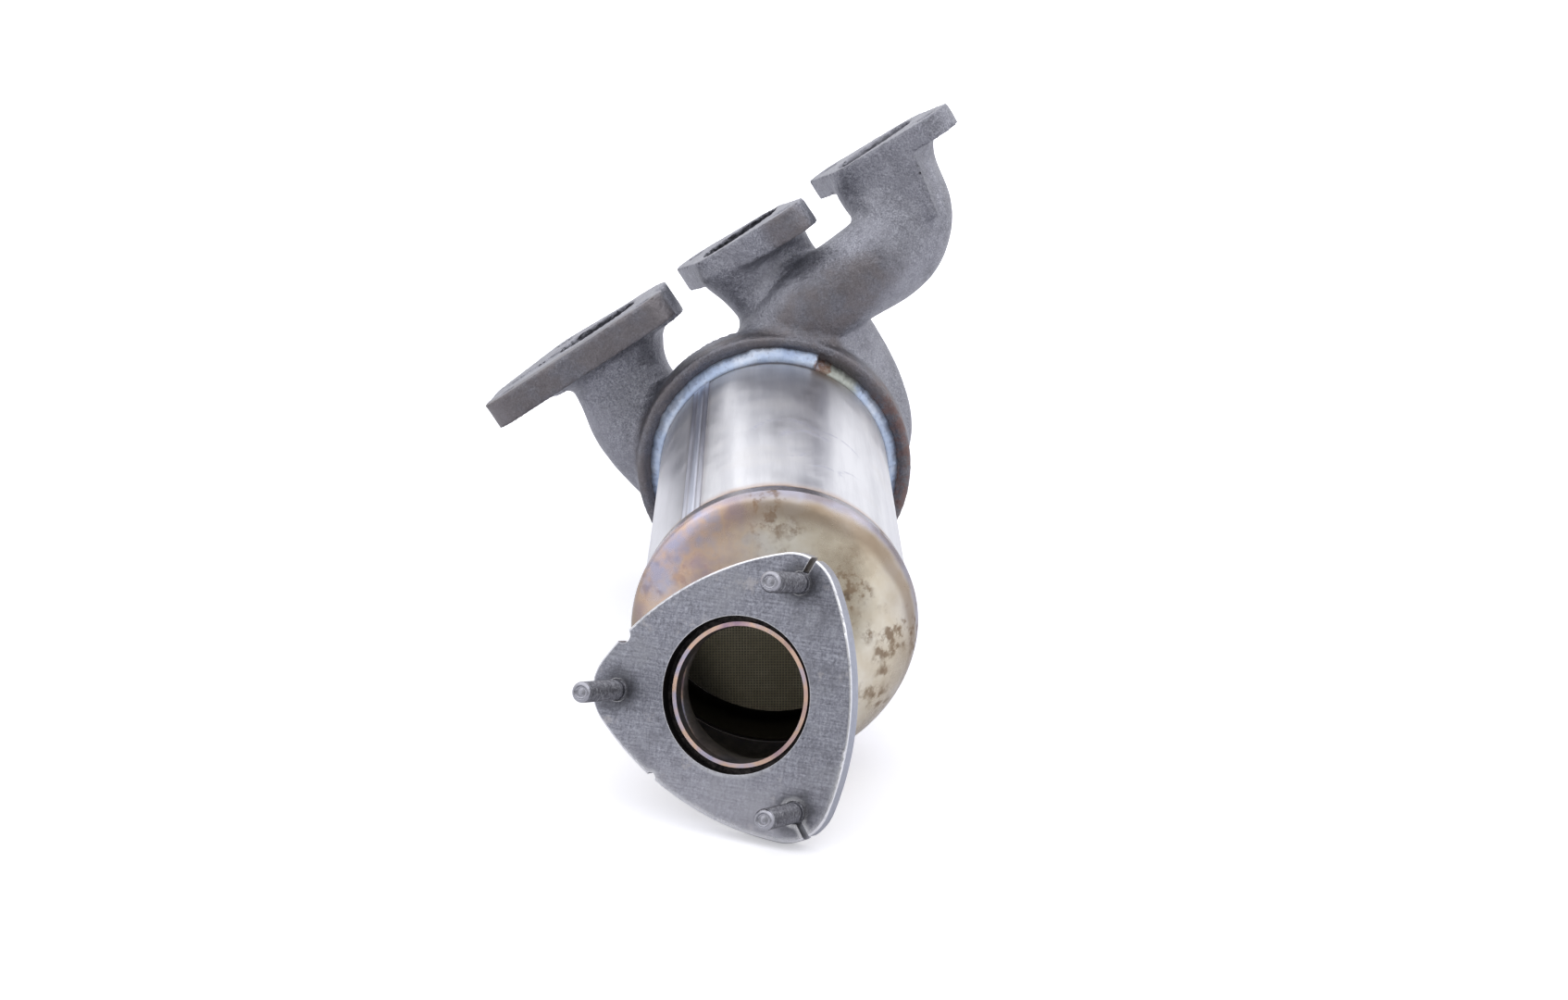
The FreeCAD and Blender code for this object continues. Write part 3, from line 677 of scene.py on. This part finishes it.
def stud_steel():
    """Blackened studs, rubbed on their threads and brighter on their ends."""
    s = Shader("black_stud_steel", Metallic=1.0)
    fine = s.noise(0.0012, 4, 0.7)
    tone = s.ramp(fine, (0.35, STUD_BLACK), (0.5, STUD_DARK), (0.68, STUD_GREY))
    top = reach_along(points_of(nodes["Stud_Upper"]), outlet_face, outlet_axis).max()
    bright = s.step(s.split(s.on_plate())[2], top - 0.0022, top - 0.0012)
    tone = s.paint(tone, STUD_TOP, bright, 0.9)
    worn = s.times(s.edges(0.0004, 0.01, 0.25), s.patches(0.002, 0.35, 0.6))
    s.set("Base Color", s.paint(tone, STUD_WORN, worn, 0.7))
    s.set("Roughness", s.blend(bright, s.blend(fine, 0.32, 0.5), 0.25))
    s.bump((fine, 0.00012))
    return s.material


def honeycomb():
    """The brick: dark square channels between olive walls, with a painted shadow towards its lower
    left.
    """
    s = CanShader("washcoated_honeycomb", Metallic=0.0, Roughness=0.9)
    wall_edge = 0.5 - WALL_SHARE / 2
    walls = []
    for reach in (s.across, s.up):
        from_middle = s.apart(s.calc("FRACT", s.times(reach, 1 / CELL)), 0.5)
        walls.append(s.step(from_middle, wall_edge - WALL_SOFT, wall_edge + WALL_SOFT))
    wall = s.either(*walls)
    wall_tone = s.mix(s.patches(0.014, 0.35, 0.65, 4), BRICK_WALL, BRICK_PALE)
    # Painted shadow over the brick's lower left.
    soot_and_shadow = s.step(s.add(s.across, s.times(s.up, 0.5)), -0.032, -0.05)
    s.set("Base Color", s.paint(s.mix(wall, BRICK_CELL, wall_tone), BRICK_PAINTED_SHADOW, soot_and_shadow, 0.8))
    s.bump((wall, 0.00015), (s.noise(0.0006, 2), 0.0001))
    return s.material


def fibre_mat():
    """The swelling fibre mat round the brick."""
    s = Shader("fibre_mat", Roughness=0.95)
    fibres = s.noise(0.0012, 4, 0.7, swirl=1.5)
    s.set("Base Color", s.ramp(fibres, (0.3, MAT_GREY), (0.7, MAT_PALE)))
    s.bump((fibres, 0.0005))
    return s.material


LOOKS = {"cast_iron": cast_iron(), "can_steel": rolled_steel(), "weld_strip": strip_weld(),
         "ceramic": honeycomb(), "fibre_mat": fibre_mat(), "shell_steel": tinted_steel(),
         "tinted_weld": seam_weld(), "bead_steel": bead_steel(), "flange_steel": flange_steel(),
         "neck_weld": neck_weld(), "stud_steel": stud_steel()}
SLOTS = {part["node"]: part["material_slot"] for part in frame["record"]["subparts"]}


def dress(obj, slot):
    obj.data.materials.clear()
    obj.data.materials.append(LOOKS[slot])


for name, obj in nodes.items():
    dress(obj, SLOTS[name])


# ---------------------------------------------------------------- pieces that replace CAD nodes
def new_piece(name, mesh, node):
    """A piece that stands for one CAD node and takes its finish."""
    piece = bpy.data.objects.new(name, mesh)
    bpy.context.collection.objects.link(piece)
    dress(piece, SLOTS[node])
    mesh.shade_smooth()
    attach(piece, "root")
    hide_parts(node)
    return piece


def smooth(value, low, high):
    """Arrays: 0 below low, 1 above high and smooth between."""
    t = np.clip((value - low) / (high - low), 0, 1)
    return t * t * (3 - 2 * t)


def noise_at(places, size, seed=0.0):
    """Noise from -1 to 1 at each place."""
    return np.array([noise.noise(Vector(place) / size + Vector((seed, 0, 0))) for place in places])


def grid_mesh(name, rows, closed_rows=False):
    """A mesh over rings of points. The last ring joins the first, or both are capped."""
    count, width = len(rows), len(rows[0])
    points = [point for row in rows for point in row]
    faces = []
    for i in range(count if closed_rows else count - 1):
        here, there = i * width, (i + 1) % count * width
        faces += [(here + j, here + (j + 1) % width, there + (j + 1) % width, there + j)
                  for j in range(width)]
    if not closed_rows:
        faces += [tuple(reversed(range(width))), tuple(range((count - 1) * width, count * width))]
    mesh = bpy.data.meshes.new(name)
    mesh.from_pydata(points, [], faces)
    return mesh


def regridded(node, name):
    """A node's mesh made again on an even grid that keeps its edges sharp."""
    source = bpy.data.objects.new("source", nodes[node].data.copy())
    bpy.context.collection.objects.link(source)
    grid = source.modifiers.new("grid", "REMESH")
    grid.mode, grid.octree_depth, grid.sharpness = "SHARP", GRID_DEPTH, 1.0
    grid.scale = max(source.dimensions) / (CAST_GRID * 2 ** GRID_DEPTH)
    grid.use_remove_disconnected = False
    evaluated = source.evaluated_get(bpy.context.evaluated_depsgraph_get())
    mesh = bpy.data.meshes.new_from_object(evaluated)
    bpy.data.objects.remove(source)
    mesh.name = name
    return mesh


def casting():
    """The manifold with its creases run into fillets and the skin of sand-cast iron."""
    mesh = regridded("Inlet_Manifold", "Manifold_Casting")
    places = np.empty(len(mesh.vertices) * 3)
    mesh.vertices.foreach_get("co", places)
    places = places.reshape(-1, 3)
    ends = np.empty(len(mesh.edges) * 2, dtype=int)
    mesh.edges.foreach_get("vertices", ends)
    one, other = ends.reshape(-1, 2).T
    share = 1 / np.bincount(ends, minlength=len(places))[:, None]
    head = np.array(head_axis)

    def around(values):
        """The mean of each vertex's neighbours."""
        total = np.zeros_like(values)
        np.add.at(total, one, values[other])
        np.add.at(total, other, values[one])
        return total * share

    def normals():
        """Writes the places to the mesh and gives its normals."""
        mesh.vertices.foreach_set("co", places.ravel())
        mesh.update()
        flat = np.empty(len(mesh.vertices) * 3)
        mesh.vertices.foreach_get("normal", flat)
        return flat.reshape(-1, 3)

    def flatten_heads():
        """Puts the machined faces back into the head plane."""
        places[machined] -= np.outer(reach_along(places[machined], head_place, head), head)

    proud = reach_along(places, head_place, head)
    machined = (np.abs(proud) < MACHINED_GAP) & (normals() @ head > MACHINED_FACING)
    from_rim = reach_along(places, can_middle, can_axis) - collar_start
    rough = smooth(from_rim, COLLAR_PLAIN, COLLAR_ROUGH)

    softening = np.where(machined, 0.0, EDGE_SOFTENING)[:, None]
    for _ in range(EDGE_PASSES):
        places += softening * (around(places) - places)
        flatten_heads()

    # Creases, where vertices lie below their neighbours, are smoothed until they are round.
    sunk = np.einsum("ij,ij->i", around(places) - places, normals()) / CAST_GRID
    crease = smooth(sunk, *CREASE_RANGE) * rough
    for _ in range(CREASE_PASSES):
        crease = np.maximum(crease, CREASE_KEPT * around(crease[:, None])[:, 0])
    crease = smooth(crease, *FILLET_RANGE)[:, None]
    for _ in range(FILLET_PASSES):
        places += FILLET_PULL * crease * (around(places) - places)

    skin = (LUMP_HEIGHT_MM * noise_at(places, LUMP_SIZE)
            + GRIT_HEIGHT_MM * noise_at(places, GRIT_SIZE, GRIT_SEED))
    skin *= rough * ~machined
    places += normals() * (skin * MM)[:, None]
    flatten_heads()
    np.clip(places, np.array(cad_box[0]), np.array(cad_box[1]), out=places)
    normals()
    return mesh


def threaded_stud(node):
    """An M8 stud: pressed shank in the plate, plain neck, rolled thread and a cupped end."""
    foot = stud_place(node)
    reach = reach_along(points_of(nodes[node]), outlet_face, outlet_axis)
    seat, top = reach.min(), reach.max()
    start, stop = THREAD_NECK, top - POINT_LENGTH
    # Each ring is (height over the plate, radius, share of the thread's depth).
    shank, neck = THREAD_R * SHANK_SHARE, THREAD_R * NECK_SHARE
    rings = [(seat, shank, 0), (SHANK_TOP, shank, 0), (0, neck, 0)]
    count = round((stop - start) / THREAD_PITCH * RINGS_PER_PITCH)
    for i in range(count + 1):
        height = start + (stop - start) * i / count
        run_in, run_out = (height - start) / THREAD_PITCH, (stop - height) / THREAD_PITCH
        fade = min(1, run_in, run_out + THREAD_RUNOUT)
        rings.append((height, THREAD_R, fade))
    rings += [(top - below * MM, radius * MM, 0) for below, radius in STUD_POINT_MM]
    turn_stud = outlet_quat.to_matrix()
    rows = []
    for height, radius, fade in rings:
        row = []
        for j in range(STUD_SIDES):
            angle = math.tau * j / STUD_SIDES
            phase = (height / THREAD_PITCH - j / STUD_SIDES) % 1
            flank = (1 - abs(2 * phase - 1)) * THREAD_FLANK - THREAD_CREST
            groove = min(1, max(0, flank)) * THREAD_DEPTH * fade
            out = Vector((math.cos(angle), math.sin(angle), 0)) * (radius - groove)
            row.append(foot + turn_stud @ (out + Vector((0, 0, height))))
        rows.append(row)
    return grid_mesh(node.replace("Stud", "Threaded_Stud"), rows)


def weld_bead():
    """The inlet weld: a ragged band from the can's skin out over the collar's rim."""
    turn_can = Euler((CAN_RISE, 0, 0)).to_matrix()
    rows = []
    for i in range(BEAD_RINGS):
        degrees = 360 * i / BEAD_RINGS
        turn = math.radians(degrees)
        ring = Vector((math.cos(turn), math.sin(turn), 0)) * 3      # noise on a ring closes
        before_end = (degrees - BEAD_STOP_DEG) % 360
        wide = smooth(before_end, 0, BEAD_STEP_DEG) * (1 - smooth(before_end, *BEAD_WIDE_DEG))
        low = 1 - smooth(360 - before_end, *BEAD_LOW_DEG)
        ragged = noise.noise(ring * 4.3) + 0.6 * noise.noise(ring * 13)
        width = (BEAD_WIDTH_MM + BEAD_WIDER_MM * wide - BEAD_NARROWER_MM * low
                 + BEAD_RAGGED_MM * ragged) * MM
        rise = (BEAD_RISE_MM + BEAD_HIGHER_MM * wide - BEAD_LOWER_MM * low
                + BEAD_UNEVEN_MM * noise.noise(ring * 7)) * MM
        row = []
        for j in range(BEAD_STEPS + 1):
            t = j / BEAD_STEPS
            ripple = (noise.noise(Vector((degrees * 1.1, t * 2.2, 0))) * 0.1
                      + noise.noise(ring * 22 + ring * t) * 0.12)
            bulge = math.sin(math.pi * min(1, t * 1.02)) ** 0.75
            shift = (rise * BEAD_BULGE + ripple * MM) * bulge
            for at, place, size, height in BEAD_MARKS_MM:
                around = (degrees - at) * math.radians(can_radius / MM)
                away = math.hypot(around, (t - place) * MARK_STRETCH_MM)
                shift += height * MM * math.exp(-(away / size) ** 2)
            back = bead_start + (bead_end - bead_start) * t ** BEAD_LEAN
            row.append((can_radius + width * t, back - shift))
        far = bead_end + BEAD_ROOT
        row += [(row[-1][0], far), (can_radius - BEAD_ROOT, far),
                (can_radius - BEAD_ROOT, bead_start)]
        rows.append([can_middle + turn_can @ Vector((r * math.cos(turn), along, r * math.sin(turn)))
                     for r, along in row])
    return grid_mesh("Inlet_Weld_Bead", rows, closed_rows=True)


new_piece("Manifold_Casting", casting(), "Inlet_Manifold")
new_piece("Inlet_Weld_Bead", weld_bead(), "Inlet_Weld")
for stud in ("Stud_Upper", "Stud_Left", "Stud_Lower"):
    new_piece(stud.replace("Stud", "Threaded_Stud"), threaded_stud(stud), stud)


# ---------------------------------------------------------------- floor, light and camera
def studio_floor():
    """A pale floor that keeps the part's shadow and runs out to white in the camera's view."""
    corners = [(-1, -1), (1, -1), (1, 1), (-1, 1)]
    mesh = bpy.data.meshes.new("floor")
    places = [(x * FLOOR_REACH, y * FLOOR_REACH, 0) for x, y in corners]
    mesh.from_pydata(places, [], [(0, 1, 2, 3)])
    floor = bpy.data.objects.new("floor", mesh)
    bpy.context.collection.objects.link(floor)
    paper = Shader("pale_floor", Base_Color=colour(FLOOR_COLOUR), Roughness=0.75,
                   Specular_IOR_Level=0.2)
    to_camera = paper.node("LightPath").outputs["Is Camera Ray"]
    away = paper.node("VectorMath", {0: paper.place}, operation="LENGTH").outputs["Value"]
    glow = paper.blend(paper.step(away, *FLOOR_FADE), *FLOOR_GLOW)
    paper.set("Emission Color", colour(FLOOR_WHITE))
    paper.set("Emission Strength", paper.times(to_camera, glow))
    mesh.materials.append(paper.material)


def sky():
    """White all round to the camera. Metal sees it dimmer, and dimmest behind the camera."""
    world = bpy.data.worlds.new("studio")
    world.use_nodes = True
    bpy.context.scene.world = world
    air = Nodes(world.node_tree)
    back = world.node_tree.nodes["Background"]
    path = air.node("LightPath").outputs
    _, depth, height = air.split(air.node("TexCoord").outputs["Generated"])
    horizon = air.blend(air.step(depth, -0.2, 0.9), SKY_BEHIND, SKY_AHEAD)
    level = air.blend(air.step(height, 0.0, 0.8), horizon, SKY_TOP)
    shiny = air.either(path["Is Glossy Ray"], path["Is Transmission Ray"])
    strength = air.blend(shiny, SKY_TO_MATT, level)
    air.feed(back.inputs["Color"], colour(SKY_COLOUR))
    air.feed(back.inputs["Strength"], air.blend(path["Is Camera Ray"], strength, SKY_TO_CAMERA))


def soft_box(name, place, size, watts):
    """A wide area lamp aimed at the can."""
    lamp = bpy.data.lights.new(name, "AREA")
    lamp.color = LAMP_COLOUR
    lamp.shape, lamp.energy = "RECTANGLE", watts
    lamp.size, lamp.size_y = size
    obj = bpy.data.objects.new(name, lamp)
    obj.location = place
    obj.rotation_euler = (can_middle - Vector(place)).to_track_quat("-Z", "Y").to_euler()
    bpy.context.collection.objects.link(obj)


def photo_camera():
    """The camera at the photograph's viewing angle."""
    camera = bpy.data.objects.new("camera", bpy.data.cameras.new("camera"))
    camera.data.sensor_width = CAMERA_SENSOR_MM
    camera.data.lens = CAMERA_LENS_MM
    camera.location = CAMERA_PLACE
    view = Vector(CAMERA_AIM) - camera.location
    camera.rotation_euler = view.to_track_quat("-Z", "Y").to_euler()
    camera.data.clip_start, camera.data.clip_end = CAMERA_CLIP
    bpy.context.collection.objects.link(camera)
    bpy.context.scene.camera = camera


studio_floor()
sky()
for lamp in LAMPS:
    soft_box(*lamp)
photo_camera()
bpy.context.scene.view_settings.view_transform = "Standard"
